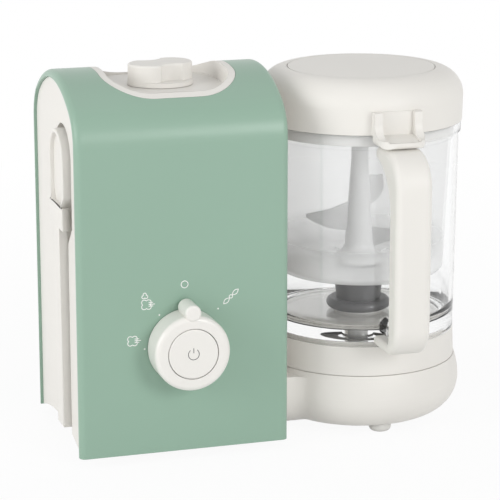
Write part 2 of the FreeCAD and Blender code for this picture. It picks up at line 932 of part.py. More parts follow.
def make_base_housing():
    base = piece("base_housing", bowl)
    wall = dim.base_wall
    turned(base, pedestal_section(0))
    bridge_length = -tower_step
    pad(base, sketch(base, "YZ_Plane", bridge_section(0)), bridge_length, flip=True)

    def neck_edge(edge):
        middle = edge.CenterOfMass
        beside = -dim.pedestal_radius.number < middle.x < -dim.bridge_foot.number
        outside = abs(middle.y) > dim.bridge_foot.number
        leaning = edge.BoundBox.XLength > dim.press_gap.number
        return beside and outside and leaning and not flat_at(edge, "z", middle.z)

    round_edges(base, dim.neck_rounding, neck_edge)
    tub = block(tub_half_x, tub_half_y, x=tower_step)
    pad(base, sketch(base, "XY_Plane", tub, offset=dim.base_bottom), dim.tub_height - dim.base_bottom)
    beyond = [
        (tower_step - tub_half_x, -dim.bridge_belly),
        (tower_step + tub_half_x, -dim.bridge_belly),
        (tower_step + tub_half_x, dim.bridge_belly),
        (tower_step - tub_half_x, dim.bridge_belly),
    ]
    pocket(base, sketch(base, "XY_Plane", beyond, offset=dim.tub_height), dim.bridge_height, flip=True)
    turned_cut(base, pedestal_section(wall))
    pocket(base, sketch(base, "YZ_Plane", bridge_inside()), bridge_length, flip=False)
    hollow = block(tub_half_x - wall, tub_half_y - wall, x=tower_step)
    tub_room = dim.tub_height - wall - dim.base_bottom
    pocket(base, sketch(base, "XY_Plane", hollow, offset=dim.base_bottom), tub_room, flip=True)
    boss_low = dim.pedestal_height - dim.bearing_length - wall
    boss = Disc(0, 0, dim.bearing_boss_radius)
    pad(base, sketch(base, "XY_Plane", boss, offset=boss_low), dim.pedestal_height - boss_low)
    tower_bosses = discs(screw_places()[:4], dim.screw_boss_radius)
    pad(base, sketch(base, "XY_Plane", *tower_bosses, offset=plate_top), dim.tub_height - plate_top)
    bowl_bosses = discs(screw_places()[4:], dim.screw_boss_radius)
    boss_height = dim.pedestal_height - wall / 2 - plate_top
    pad(base, sketch(base, "XY_Plane", *bowl_bosses, offset=plate_top), boss_height)
    bearing = Disc(0, 0, dim.bearing_radius + dim.press_gap)
    bearing_seat = dim.pedestal_height - dim.bearing_length
    pocket(base, sketch(base, "XY_Plane", bearing, offset=dim.pedestal_height), dim.bearing_length)
    passage = Disc(0, 0, dim.spindle_radius + dim.fit_gap)
    pocket(base, sketch(base, "XY_Plane", passage, offset=bearing_seat), dim.base_wall)
    shaft_hole = Disc(motor_step, 0, dim.motor_shaft_radius * 2)
    pocket(base, sketch(base, "XY_Plane", shaft_hole, offset=dim.tub_height), dim.base_wall)
    threads = discs(screw_places(), dim.screw_radius + dim.press_gap)
    thread_depth = dim.screw_length - dim.plate_thickness + dim.screw_head_height
    pocket(base, sketch(base, "XY_Plane", *threads, offset=plate_top), thread_depth, flip=True)
    sockets = discs(foot_places(), dim.foot_radius + dim.fit_gap)
    pocket(base, sketch(base, "XY_Plane", *sockets), dim.foot_height + dim.fit_gap, flip=True)


def bridge_inside():
    """The bridge's hollow, open below and joined to the pedestal and the tower floor."""
    wall = dim.base_wall
    foot = dim.bridge_foot - wall
    belly = dim.bridge_belly - wall
    roof = dim.tub_height - wall
    lower = belly_radius(belly - foot, roof - dim.base_bottom)
    return [
        (-foot, dim.base_bottom, lower),
        (foot, dim.base_bottom),
        (belly, roof, lower),
        (-belly, roof),
    ]


def make_base_plate():
    plate = piece("base_plate", bowl)
    gap = dim.base_wall + dim.fit_gap
    level = dim.base_bottom
    disc = Disc(0, 0, dim.pedestal_foot_radius - gap)
    pad(plate, sketch(plate, "XY_Plane", disc, offset=level), dim.plate_thickness)
    neck = block(-tower_step / 2, dim.bridge_foot - gap, x=tower_step / 2)
    pad(plate, sketch(plate, "XY_Plane", neck, offset=level), dim.plate_thickness)
    tub = block(tub_half_x - gap, tub_half_y - gap, x=tower_step)
    pad(plate, sketch(plate, "XY_Plane", tub, offset=level), dim.plate_thickness)
    seat = Disc(0, 0, dim.bearing_radius + dim.base_wall)
    seat_height = dim.pulley_level - dim.part_gap - plate_top
    pad(plate, sketch(plate, "XY_Plane", seat, offset=plate_top), seat_height)
    hole = Disc(0, 0, dim.bearing_radius + dim.press_gap)
    pocket(plate, sketch(plate, "XY_Plane", hole, offset=plate_top), seat_height, flip=True)
    heads = discs(screw_places(), dim.screw_head_radius + dim.fit_gap)
    pocket(plate, sketch(plate, "XY_Plane", *heads, offset=level), dim.screw_head_height, flip=True)
    holes = discs(screw_places(), dim.screw_radius + dim.fit_gap)
    pocket(plate, sketch(plate, "XY_Plane", *holes, offset=level), dim.plate_thickness, flip=True)
    sockets = discs(foot_places(), dim.foot_radius + dim.fit_gap)
    pocket(plate, sketch(plate, "XY_Plane", *sockets, offset=level), dim.plate_thickness, flip=True)


def make_feet_and_screws():
    feet = piece("rubber_feet", bowl)
    feet.AllowCompound = True
    pad(feet, sketch(feet, "XY_Plane", *discs(foot_places(), dim.foot_radius)), dim.foot_height)
    round_edges(feet, dim.foot_rounding, lambda edge: flat_at(edge, "z", 0))
    screws = piece("base_screws", bowl)
    screws.AllowCompound = True
    heads = sketch(screws, "XY_Plane", *discs(screw_places(), dim.screw_head_radius), offset=dim.base_bottom)
    pad(screws, heads, dim.screw_head_height - dim.press_gap)
    shanks = sketch(screws, "XY_Plane", *discs(screw_places(), dim.screw_radius), offset=dim.base_bottom)
    pad(screws, shanks, dim.screw_length)


def make_bearings_and_spindle():
    upper = piece("upper_bearing", bowl)
    seat = dim.pedestal_height - dim.bearing_length
    bore = dim.spindle_radius + dim.bore_gap
    turned(upper, ring(bore, dim.bearing_radius, seat, dim.pedestal_height))
    lower = piece("lower_bearing", bowl)
    turned(lower, ring(bore, dim.bearing_radius, plate_top, dim.pulley_level - dim.part_gap))
    spindle = piece("drive_spindle", bowl)
    turned(spindle, ring(0, dim.spindle_radius, plate_top + dim.part_gap, dog_level))


def make_pulley(label, at, radius, bore):
    pulley = piece(label, at)
    level = dim.pulley_level
    rim = dim.pulley_rim
    outer = radius + dim.pulley_flange
    turned(pulley, [
        (bore + dim.press_gap, level),
        (outer, level),
        (outer, level + rim),
        (radius, level + rim),
        (radius, pulley_top - rim),
        (outer, pulley_top - rim),
        (outer, pulley_top),
        (bore + dim.press_gap, pulley_top),
    ])
    return pulley


def belt_loop(grow):
    """The belt's run round both pulleys, with the large one at the origin and the small one at its left."""
    large = dim.large_pulley_radius + dim.part_gap + grow
    small = dim.small_pulley_radius + dim.part_gap + grow
    lean = (dim.large_pulley_radius - dim.small_pulley_radius) / belt_span
    level = root(1 - lean * lean)
    return [
        (-belt_span - small * lean, -small * level, small),
        (-large * lean, -large * level),
        (large, 0, large),
        (-large * lean, large * level, large),
        (-belt_span - small * lean, small * level),
    ]


def make_drive():
    make_pulley("driven_pulley", bowl, dim.large_pulley_radius, dim.spindle_radius)
    make_pulley("motor_pulley", motor, dim.small_pulley_radius, dim.motor_shaft_radius)
    belt = piece("drive_belt", bowl)
    level = dim.pulley_level + dim.pulley_rim + dim.part_gap
    loops = (belt_loop(dim.belt_thickness), belt_loop(0))
    pad(belt, sketch(belt, "XY_Plane", *loops, offset=level), dim.belt_width)


def dog_outline(turn):
    """One dog of the coupling between two radii, turned about the axis from the X direction."""
    half = dim.dog_angle / 2
    outer = dim.coupling_radius
    inner = dim.dog_inner_radius
    first = turn - half
    last = turn + half
    return [
        (inner * cosine(first), inner * sine(first)),
        (outer * cosine(first), outer * sine(first)),
        (outer * cosine(last), outer * sine(last), outer),
        (inner * cosine(last), inner * sine(last)),
    ]


def make_couplings():
    lower = piece("drive_coupling", bowl)
    bore = dim.spindle_radius + dim.press_gap
    turned(lower, ring(bore, dim.coupling_radius, coupling_level, dog_level))
    dog = pad(lower, sketch(lower, "XY_Plane", dog_outline(lift(0)), offset=dog_level), dim.dog_height)
    around(lower, dog, dim.dog_count)
    upper = piece("blade_coupling", bowl)
    top = upper_dog_level + dim.coupling_disc
    turned(upper, ring(dim.shaft_radius + dim.press_gap, dim.coupling_radius, upper_dog_level, top))
    step = 180 / dim.dog_count
    dog_sketch = sketch(upper, "XY_Plane", dog_outline(step), offset=upper_dog_level)
    dog = pad(upper, dog_sketch, dim.dog_height, flip=True)
    around(upper, dog, dim.dog_count)


def make_motor():
    bracket_low = dim.tub_height
    can_low = bracket_low + dim.bracket_thickness
    can_top = can_low + dim.motor_length
    spread = dim.motor_screw_spread
    corners = [(side * spread, end * spread) for side in (-1, 1) for end in (-1, 1)]
    bracket = piece("motor_bracket", motor)
    half = dim.bracket_size / 2
    plate = block(half, half)
    pad(bracket, sketch(bracket, "XY_Plane", plate, offset=bracket_low), dim.bracket_thickness)
    hole = Disc(0, 0, dim.motor_shaft_radius * 2)
    holes = discs(corners, dim.screw_radius + dim.fit_gap)
    pocket(bracket, sketch(bracket, "XY_Plane", hole, *holes, offset=can_low), dim.bracket_thickness)
    heads = discs(corners, dim.screw_head_radius + dim.fit_gap)
    pocket(bracket, sketch(bracket, "XY_Plane", *heads, offset=bracket_low), dim.screw_head_height, flip=True)
    can = piece("motor_can", motor)
    bore = dim.motor_shaft_radius + dim.bore_gap
    turned(can, [
        (bore, can_low),
        (dim.motor_radius, can_low),
        (dim.motor_radius, can_top - dim.base_wall),
        (dim.motor_radius - dim.base_wall, can_top, dim.base_wall),
        (bore * 3, can_top),
        (bore * 3, can_top + dim.base_wall),
        (bore, can_top + dim.base_wall),
    ])
    threads = discs(corners, dim.screw_radius + dim.press_gap)
    pocket(can, sketch(can, "XY_Plane", *threads, offset=can_low), dim.screw_length, flip=True)
    screws = piece("motor_screws", motor)
    screws.AllowCompound = True
    head_sketch = sketch(screws, "XY_Plane", *discs(corners, dim.screw_head_radius), offset=bracket_low)
    pad(screws, head_sketch, dim.screw_head_height - dim.press_gap)
    shank_sketch = sketch(screws, "XY_Plane", *discs(corners, dim.screw_radius), offset=bracket_low)
    pad(screws, shank_sketch, dim.screw_length)
    shaft = piece("motor_shaft", motor)
    turned(shaft, ring(0, dim.motor_shaft_radius, plate_top + dim.part_gap, dim.motor_shaft_top))
    fan = piece("motor_fan", motor)
    fan_low = dim.motor_shaft_top - dim.fan_height
    hub = dim.motor_shaft_radius * 2
    half_vane = dim.fan_vane / 2
    turned(fan, ring(dim.motor_shaft_radius + dim.press_gap, hub, fan_low, dim.motor_shaft_top))
    vane = [
        (hub - half_vane, -half_vane),
        (dim.fan_radius, -half_vane),
        (dim.fan_radius, half_vane),
        (hub - half_vane, half_vane),
    ]
    blade = pad(fan, sketch(fan, "XY_Plane", vane, offset=fan_low), dim.fan_height)
    around(fan, blade, dim.fan_vanes)


def make_jug():
    jug = piece("jug", bowl)
    wall = dim.jug_wall
    top = flange_level + dim.flange_height
    bend = dim.jug_floor_radius
    floor = dim.jug_floor_level
    rim_inner = dim.jug_rim_radius - wall
    floor_inner = dim.jug_foot_radius - wall
    skirt_low = dim.jug_foot_level - dim.skirt_depth
    under = dim.jug_foot_level + dim.jug_hollow
    hole = dim.bush_stem_radius + dim.fit_gap
    turned(jug, [
        (dim.jug_foot_radius, dim.jug_foot_level),
        (dim.jug_rim_radius, flange_level),
        (dim.flange_radius, flange_level),
        (dim.flange_radius, top),
        (rim_inner, top),
        (floor_inner, floor + bend),
        (floor_inner - bend, floor, -bend),
        (hole, floor),
        (hole, under),
        (dim.skirt_radius - dim.skirt_wall, under),
        (dim.skirt_radius - dim.skirt_wall, skirt_low),
        (dim.skirt_radius, skirt_low),
        (dim.skirt_radius, dim.jug_foot_level),
    ])
    lug_low = dim.handle_bottom + dim.handle_lower_arm + dim.part_gap
    lug_end = dim.handle_reach - dim.handle_thickness - dim.part_gap
    lug_root = dim.jug_foot_radius - wall
    lug = [
        (-lug_end, lug_low + dim.handle_crook),
        (-lug_end + dim.handle_crook, lug_low, dim.handle_crook),
        (-lug_root, lug_low),
        (-lug_root, lug_low + dim.lug_height),
        (-lug_end, lug_low + dim.lug_height),
    ]
    pad(jug, sketch(jug, "YZ_Plane", lug), dim.lug_width, both=True)
    half_lug = dim.lug_width / 2
    round_edges(jug, dim.lug_rounding, lambda edge: near(abs(edge.CenterOfMass.x), half_lug)
                and near(edge.BoundBox.ZLength, 0) and edge.CenterOfMass.y < -dim.jug_foot_radius.number
                and edge.BoundBox.YLength > dim.lug_rounding.number)


def make_jug_collar():
    collar = piece("jug_collar", bowl)
    inner = dim.skirt_radius + dim.fit_gap
    top = dim.jug_foot_level - dim.fit_gap
    ledge_top = dim.jug_foot_level - dim.skirt_depth - dim.fit_gap
    ledge_low = ledge_top - dim.collar_floor
    floor_low = collar_floor_top - dim.collar_floor
    raised = dim.skirt_radius - dim.skirt_wall - dim.fit_gap
    hole = dim.bush_stem_radius + dim.fit_gap
    turned(collar, [
        (hole, floor_low),
        (raised - dim.collar_step, floor_low),
        (raised - dim.collar_step, ledge_low),
        (inner, ledge_low),
        (inner, collar_level),
        (dim.collar_foot_radius, collar_level),
        (dim.collar_top_radius, top),
        (inner, top),
        (inner, ledge_top),
        (raised, ledge_top),
        (raised, collar_floor_top),
        (hole, collar_floor_top),
    ])


def make_jug_handle():
    handle = piece("jug_handle", bowl)
    reach = dim.handle_reach
    inner = reach - dim.handle_thickness
    root_y = dim.jug_foot_radius - dim.lug_rounding
    upper = dim.handle_upper_bend
    lower = dim.handle_lower_bend
    bend = dim.handle_inner_bend
    crook = dim.handle_crook
    top = flange_level + dim.handle_rise
    bottom = dim.handle_bottom
    arm_low = bottom + dim.handle_lower_arm
    arm_high = top - dim.handle_arm
    arm_reach = inner - root_y
    arm_fall = root(arm_reach * (2 * bend - arm_reach))
    outline = [
        (-root_y, bottom),
        (-root_y, arm_low),
        (-inner + crook, arm_low),
        (-inner, arm_low + crook, -crook),
        (-inner, arm_high - arm_fall),
        (-root_y, arm_high, -bend),
        (-root_y, top),
        (-reach + upper, top),
        (-reach, top - upper, upper),
        (-reach, bottom + lower),
        (-reach + lower, bottom, lower),
    ]
    pad(handle, sketch(handle, "YZ_Plane", outline), dim.handle_width, both=True)
    half = dim.handle_width / 2

    def outer_edge(edge):
        return near(abs(edge.CenterOfMass.x), half) and near(edge.BoundBox.YMin, -reach) and near(
            edge.BoundBox.YMax, -reach
        )

    def inner_edge(edge):
        return near(abs(edge.CenterOfMass.x), half) and near(edge.BoundBox.YMin, -inner) and near(
            edge.BoundBox.YMax, -inner
        )

    round_edges(handle, dim.handle_rounding, outer_edge)
    round_edges(handle, dim.handle_inner_rounding, inner_edge)
    jug_room = Disc(0, 0, dim.jug_rim_radius + dim.fit_gap)
    pocket(handle, sketch(handle, "XY_Plane", jug_room), top, flip=True)
    rim_room = Disc(0, 0, dim.flange_radius + dim.fit_gap)
    rim_low = flange_level - dim.fit_gap
    pocket(handle, sketch(handle, "XY_Plane", rim_room, offset=rim_low), dim.flange_height, flip=True)


def make_blade_bush():
    bush = piece("blade_bush", bowl)
    bore = dim.shaft_radius + dim.bore_gap
    floor = dim.jug_floor_level
    flange_low = floor + dim.hub_seal_height
    flange_high = flange_low + dim.bush_flange
    top = dim.basket_floor - dim.fit_gap
    stem_low = collar_floor_top - dim.collar_floor
    edge = dim.bush_flange / 2
    turned(bush, [
        (bore, stem_low),
        (dim.bush_stem_radius, stem_low),
        (dim.bush_stem_radius, flange_low),
        (dim.bush_radius - edge, flange_low),
        (dim.bush_radius, flange_low + edge, edge),
        (dim.bush_radius - edge, flange_high, edge),
        (dim.bush_neck_radius, flange_high),
        (dim.bush_top_radius, top - dim.bush_top_height),
        (dim.bush_top_radius, top),
        (bore, top),
    ])
    seal = piece("hub_seal", bowl)
    turned(seal, ring(dim.hub_seal_inner, dim.hub_seal_outer, floor, flange_low))


def make_steam_basket():
    basket = piece("steam_basket", bowl)
    wall = dim.basket_wall
    floor = dim.basket_floor
    lip_low = basket_top - dim.basket_lip
    bend = wall * 3
    turned(basket, [
        (dim.basket_hole_radius, floor),
        (dim.basket_foot_radius - bend, floor),
        (dim.basket_foot_radius, floor + bend, bend),
        (dim.basket_rim_radius, lip_low),
        (dim.basket_lip_radius, lip_low),
        (dim.basket_lip_radius, basket_top),
        (dim.basket_rim_radius - wall, basket_top),
        (dim.basket_foot_radius - wall, floor + bend),
        (dim.basket_foot_radius - bend, floor + wall, wall - bend),
        (dim.basket_hole_radius, floor + wall),
    ])
    half = dim.basket_slot_width / 2
    start = dim.basket_slot_start
    stop = start + dim.basket_slot_length
    slot = [(start, -half), (stop, -half), (stop, half), (start, half)]
    cut = pocket(basket, sketch(basket, "XY_Plane", slot, offset=floor), wall, flip=True)
    around(basket, cut, dim.basket_slot_count)


def blade_outline(level, reach, root_high, root_low):
    """A chopping blade seen from the side, from the shaft to a narrow tip."""
    tip = dim.blade_tip
    start = dim.shaft_radius + dim.fit_gap
    span = reach - start
    lower = (span * span + root_low * root_low) / (2 * root_low)
    return [
        (start, level - root_low),
        (reach, level - tip, lower),
        (reach, level + tip),
        (start + span / 2, level + tip + root_high / 4),
        (start, level + root_high),
    ]


def make_blades():
    shaft = piece("blade_shaft", bowl)
    turned(shaft, ring(0, dim.shaft_radius, upper_dog_level, shaft_top))
    settings = [
        (
            "middle_blade",
            dim.middle_blade_level,
            dim.middle_blade_reach,
            dim.middle_blade_rise,
            dim.middle_blade_drop,
            180,
        ),
        (
            "upper_blade",
            dim.upper_blade_level,
            dim.upper_blade_reach,
            dim.upper_blade_rise,
            dim.upper_blade_drop,
            0,
        ),
        (
            "lower_blade",
            dim.lower_blade_level,
            dim.lower_blade_reach,
            dim.lower_blade_rise,
            dim.lower_blade_drop,
            20,
        ),
    ]
    blades = []
    for label, level, reach, root_high, root_low, heading in settings:
        blade = piece(label, bowl, FreeCAD.Rotation(FreeCAD.Vector(0, 0, 1), heading))
        outline = blade_outline(level, reach, root_high, root_low)
        pad(blade, sketch(blade, "XZ_Plane", outline), dim.blade_thickness, both=True)
        blades.append(blade)
    core = doc.addObject("PartDesign::Body", "hub_core")
    place(core, bowl)
    foot = dim.hub_foot_level
    rim = foot + dim.hub_skirt
    fall = dim.hub_waist_level - rim
    draw = dim.hub_radius - dim.hub_waist_radius
    sweep = (fall * fall + draw * draw) / (2 * draw)
    crown = dim.column_radius
    bore = dim.shaft_radius + dim.press_gap
    turned(core, [
        (bore, foot),
        (dim.hub_radius - dim.hub_skirt / 2, foot),
        (dim.hub_radius, foot + dim.hub_skirt / 2, dim.hub_skirt / 2),
        (dim.hub_radius, rim),
        (dim.hub_waist_radius, dim.hub_waist_level, -sweep),
        (dim.hub_shoulder_radius, dim.hub_shoulder_level),
        (dim.column_radius, shaft_top),
        (dim.column_radius, column_top - crown),
        (0, column_top, crown),
        (0, shaft_top + dim.press_gap),
        (bore, shaft_top + dim.press_gap),
    ])
    fins = doc.addObject("Part::MultiFuse", "fins")
    fins.Shapes = blades
    hub = doc.addObject("Part::Cut", "blade_hub")
    hub.Base = core
    hub.Tool = fins
    hub.Label = "blade_hub"
    nodes.append(hub)


def make_lid():
    lid = piece("lid_shell", bowl)
    wall = dim.lid_wall
    corner = dim.lid_corner
    shoulder = lid_shoulder
    centre = dim.lid_radius - corner
    top = shoulder + corner
    well = dim.lid_disc_radius + dim.lid_disc_gap
    well_floor = top - dim.lid_disc_thickness
    under = well_floor - wall
    inner = corner - wall
    drop = under - shoulder
    under_radius = centre + root(inner * inner - drop * drop)
    ring_outer = dim.lid_ring_radius
    ring_inner = ring_outer - dim.lid_ring_wall
    ring_low = under - dim.lid_ring_depth
    turned(lid, [
        (0, under),
        (ring_inner, under),
        (ring_inner, ring_low),
        (ring_outer, ring_low),
        (ring_outer, under),
        (under_radius, under),
        (dim.lid_radius - wall, shoulder, -inner),
        (dim.lid_foot_radius - wall, lid_level),
        (dim.lid_foot_radius, lid_level),
        (dim.lid_radius, shoulder),
        (centre, top, corner),
        (well, top),
        (well, well_floor),
        (0, well_floor),
    ])
    outside = dim.flange_radius + dim.part_gap * 3
    root_y = dim.lid_radius - wall
    step = lid_level + dim.part_gap
    plate = tab_bottom + dim.tab_lip
    prong = dim.lid_radius + dim.prong_depth
    tab = [
        (-root_y, step),
        (-root_y, tab_top),
        (-prong, tab_top),
        (-prong, plate + dim.tab_sweep),
        (-prong - dim.tab_sweep, plate, -dim.tab_sweep),
        (-dim.tab_reach, plate),
        (-dim.tab_reach, tab_bottom + dim.tab_lip / 2),
        (-dim.tab_reach + dim.tab_lip / 2, tab_bottom, dim.tab_lip / 2),
        (-outside, tab_bottom),
        (-outside, step),
    ]
    pad(lid, sketch(lid, "YZ_Plane", tab), dim.tab_width, both=True)
    ledge = [
        (-dim.lid_radius - dim.part_gap, step),
        (-dim.lid_radius - dim.part_gap, tab_top + dim.tab_lip),
        (-dim.tab_reach - dim.tab_lip, tab_top + dim.tab_lip),
        (-dim.tab_reach - dim.tab_lip, plate - dim.part_gap * 2),
        (-dim.tab_reach + dim.tab_lip, plate - dim.part_gap * 4),
    ]
    thumb = dim.tab_width - 2 * dim.prong_width
    pocket(lid, sketch(lid, "YZ_Plane", ledge), thumb, both=True)
    half_tab = dim.tab_width / 2
    ends = [corner_off(side * half_tab, -dim.tab_reach, side, -1, dim.tab_corner) for side in (-1, 1)]
    pocket(lid, sketch(lid, "XY_Plane", *ends, offset=tab_top), tab_top - tab_bottom)
    keels = [corner_off(side * half_tab, tab_bottom, side, -1, dim.tab_keel) for side in (-1, 1)]
    pocket(lid, sketch(lid, "XZ_Plane", *keels, offset=outside), dim.tab_reach, flip=True)
    port = Disc(0, steam_level, dim.port_radius)
    pocket(lid, sketch(lid, "YZ_Plane", port), dim.lid_radius * 2)
    disc = piece("lid_disc", bowl)
    crown = dim.lid_disc_crown
    dome = (dim.lid_disc_radius * dim.lid_disc_radius + crown * crown) / (2 * crown)
    turned(disc, [
        (0, well_floor),
        (dim.lid_disc_radius, well_floor),
        (dim.lid_disc_radius, top),
        (0, top + crown, dome),
    ])
    seal = piece("lid_seal", bowl)
    seal_low = basket_top + dim.fit_gap
    turned(seal, ring(
        ring_outer + dim.part_gap,
        dim.lid_seal_radius,
        seal_low,
        seal_low + dim.lid_seal_height,
    ))


def make_boiler():
    boiler = piece("boiler", filler)
    wall = dim.boiler_wall
    radius = dim.boiler_radius
    bottom = boiler_bottom
    shoulder = boiler_shoulder
    neck = dim.neck_radius
    neck_low = outlet_top
    dome_rise = neck_low - shoulder
    dome_draw = radius - neck
    dome = (dome_rise * dome_rise + dome_draw * dome_draw) / (2 * dome_rise)
    turned(boiler, [
        (0, bottom),
        (radius, bottom),
        (radius, shoulder),
        (neck, neck_low, dome),
        (neck, dish_floor),
        (dim.neck_bore, dish_floor),
        (dim.neck_bore, neck_low - wall),
        (radius - wall, shoulder - wall, -dome),
        (radius - wall, bottom + wall),
        (0, bottom + wall),
    ])
    stub = Disc(dim.outlet_offset, 0, dim.outlet_radius)
    pad(boiler, sketch(boiler, "XY_Plane", stub, offset=shoulder), outlet_top - shoulder)
    way = Disc(dim.outlet_offset, 0, dim.outlet_radius - wall)
    way_depth = outlet_top - shoulder + wall * 2
    pocket(boiler, sketch(boiler, "XY_Plane", way, offset=outlet_top), way_depth)
    element = doc.addObject("Part::Torus", "heating_element")
    element.Label = "heating_element"
    bind(element, "Radius1", dim.element_radius)
    bind(element, "Radius2", dim.element_tube)
    bind(element, "Angle3", dim.element_sweep)
    place(element, (filler[0], filler[1], bottom - dim.element_tube - dim.press_gap))
    nodes.append(element)
    thermostat = piece("thermostat", filler)
    turned(thermostat, ring(0, dim.thermostat_radius, bottom - dim.thermostat_height, bottom))


def make_steam_way():
    nozzle_end = half_width + dim.nozzle_proud
    cover_face = half_width - dim.cover_setback
    nozzle_start = cover_face - dim.cover_wall - dim.nozzle_spigot
    pipe = piece("steam_pipe", tower)
    outlet = dim.filler_offset + dim.outlet_offset
    level = steam_level
    run = sketch(pipe, "XZ_Plane")
    corners = [
        (outlet, outlet_top),
        (outlet, level - dim.pipe_bend),
        (outlet + dim.pipe_bend, level),
        (nozzle_start, level),
    ]
    corners = [tuple(lift(value) for value in corner) for corner in corners]
    bends = [None, -dim.pipe_bend, None]
    segments = [
        add_segment(run, corners[number], corners[number + 1], bends[number]) for number in range(3)
    ]
    fix(run, "DistanceX", (-1, 1, segments[0][0], segments[0][1]), corners[0][0])
    fix(run, "DistanceY", (-1, 1, segments[0][0], segments[0][1]), corners[0][1])
    for number, (index, first, last) in enumerate(segments):
        fix(run, "DistanceX", (-1, 1, index, last), corners[number + 1][0])
        fix(run, "DistanceY", (-1, 1, index, last), corners[number + 1][1])
        if number:
            before = segments[number - 1]
            run.addConstraint(Sketcher.Constraint("Coincident", before[0], before[2], index, first))
    fix(run, "Radius", (segments[1][0],), dim.pipe_bend)
    bore = dim.pipe_radius - dim.boiler_wall / 2
    skin = Disc(outlet, 0, dim.pipe_radius)
    section = sketch(pipe, "XY_Plane", skin, Disc(outlet, 0, bore), offset=outlet_top)
    sweep = pipe.newObject("PartDesign::AdditivePipe", "Pipe")
    sweep.Profile = section
    sweep.Spine = (run, [])
    pipe.Tip = sweep
    nozzle = piece("steam_nozzle", (tower_x, axis_y, level), sideways)
    turned(nozzle, [
        (dim.nozzle_bore, nozzle_start),
        (dim.nozzle_flange_radius, nozzle_start),
        (dim.nozzle_flange_radius, cover_face - dim.cover_wall),
        (dim.nozzle_radius, cover_face - dim.cover_wall),
        (dim.nozzle_radius, nozzle_end - dim.nozzle_proud / 2),
        (dim.nozzle_bore, nozzle_end - dim.nozzle_proud / 2),
    ])
    seal = piece("nozzle_seal", (tower_x, axis_y, level), sideways)
    turned(seal, ring(dim.nozzle_radius + dim.press_gap, dim.nozzle_seal_radius, cover_face, nozzle_end))


def make_controls():
    inside = -dim.wrap_wall
    flange_low = inside - dim.sleeve_flange
    switch_low = flange_low - dim.switch_depth
    knob = piece("selector_knob", front_panel, forwards)
    bore = dim.sleeve_radius + dim.bore_gap
    well = dim.button_radius + dim.button_gap
    turned(knob, [
        (bore, dim.knob_lift),
        (dim.knob_radius, dim.knob_lift),
        (dim.knob_radius, dim.knob_height - dim.knob_rounding),
        (dim.knob_radius - dim.knob_rounding, dim.knob_height, dim.knob_rounding),
        (well, dim.knob_height),
        (well, dim.knob_web_top),
        (bore, dim.knob_web_top),
    ])
    peg = Disc(0, dim.pointer_offset, dim.pointer_radius)
    peg_length = dim.knob_height + dim.button_rounding - dim.pointer_base
    pad(knob, sketch(knob, "XY_Plane", peg, offset=dim.pointer_base), peg_length)
    peg_top = dim.knob_height + dim.button_rounding
    round_edges(knob, dim.pointer_rounding, lambda edge: flat_at(edge, "z", peg_top))
    button = piece("start_button", front_panel, forwards)
    cap_low = dim.button_height - dim.button_cap
    stem_low = flange_low - dim.fit_gap
    turned(button, [
        (0, stem_low),
        (dim.button_stem_radius, stem_low),
        (dim.button_stem_radius, cap_low),
        (dim.button_radius, cap_low),
        (dim.button_radius, dim.button_height - dim.button_rounding),
        (dim.button_radius - dim.button_rounding, dim.button_height, dim.button_rounding),
        (0, dim.button_height),
    ])
    sleeve = piece("knob_sleeve", front_panel, forwards)
    guide = dim.button_stem_radius + dim.bore_gap
    turned(sleeve, [
        (guide, flange_low),
        (dim.sleeve_flange_radius, flange_low),
        (dim.sleeve_flange_radius, inside),
        (dim.sleeve_radius, inside),
        (dim.sleeve_radius, dim.sleeve_height),
        (dim.sleeve_bore, dim.sleeve_height),
        (dim.sleeve_bore, 0),
        (guide, 0),
    ])
    switch = piece("rotary_switch", front_panel, forwards)
    turned(switch, ring(dim.switch_cavity, dim.switch_radius, switch_low, flange_low))
    board = piece("control_board", front_panel, forwards)
    plate = block(dim.board_width / 2, dim.board_height / 2)
    pad(board, sketch(board, "XY_Plane", plate, offset=switch_low), dim.board_thickness, flip=True)
    push = piece("push_switch", front_panel, forwards)
    plunger_top = stem_low - dim.button_travel - dim.press_gap * 5
    plunger = dim.push_switch_radius / 2
    body_top = switch_low + dim.push_switch_height
    turned(push, [
        (0, switch_low),
        (dim.push_switch_radius, switch_low),
        (dim.push_switch_radius, body_top),
        (plunger, body_top),
        (plunger, plunger_top),
        (0, plunger_top),
    ])
    make_button_spring(cap_low)


def make_button_spring(cap_low):
    """A helical spring from quarter-turn arcs, round the button's stem between sleeve and cap."""
    wire = dim.spring_wire.number
    radius = dim.spring_radius.number
    turns = int(dim.spring_turns.number)
    low = wire + dim.press_gap.number
    high = cap_low.number - wire - dim.press_gap.number
    per_turn = 4
    pitch = (high - low) / turns

    def helix(turn):
        angle = 2 * math.pi * turn
        return FreeCAD.Vector(radius * math.cos(angle), radius * math.sin(angle), low + pitch * turn)

    steps = turns * per_turn
    arcs = []
    for step in range(steps):
        begin = helix(step / per_turn)
        middle = helix((step + 0.5) / per_turn)
        end = helix((step + 1) / per_turn)
        arcs.append(Part.Arc(begin, middle, end).toShape())
    path = Part.Wire(arcs)
    heading = arcs[0].tangentAt(arcs[0].FirstParameter)
    section = Part.Wire([Part.Circle(helix(0), heading, wire).toShape()])
    spring = doc.addObject("Part::Feature", "button_spring")
    spring.Label = "button_spring"
    spring.Shape = path.makePipeShell([section], True, False)
    seat = FreeCAD.Vector(*[lift(value).number for value in front_panel])
    spring.Placement = FreeCAD.Placement(seat, forwards)
    nodes.append(spring)
    print("button spring: gap between turns", round(pitch - 2 * wire, 2), "mm")


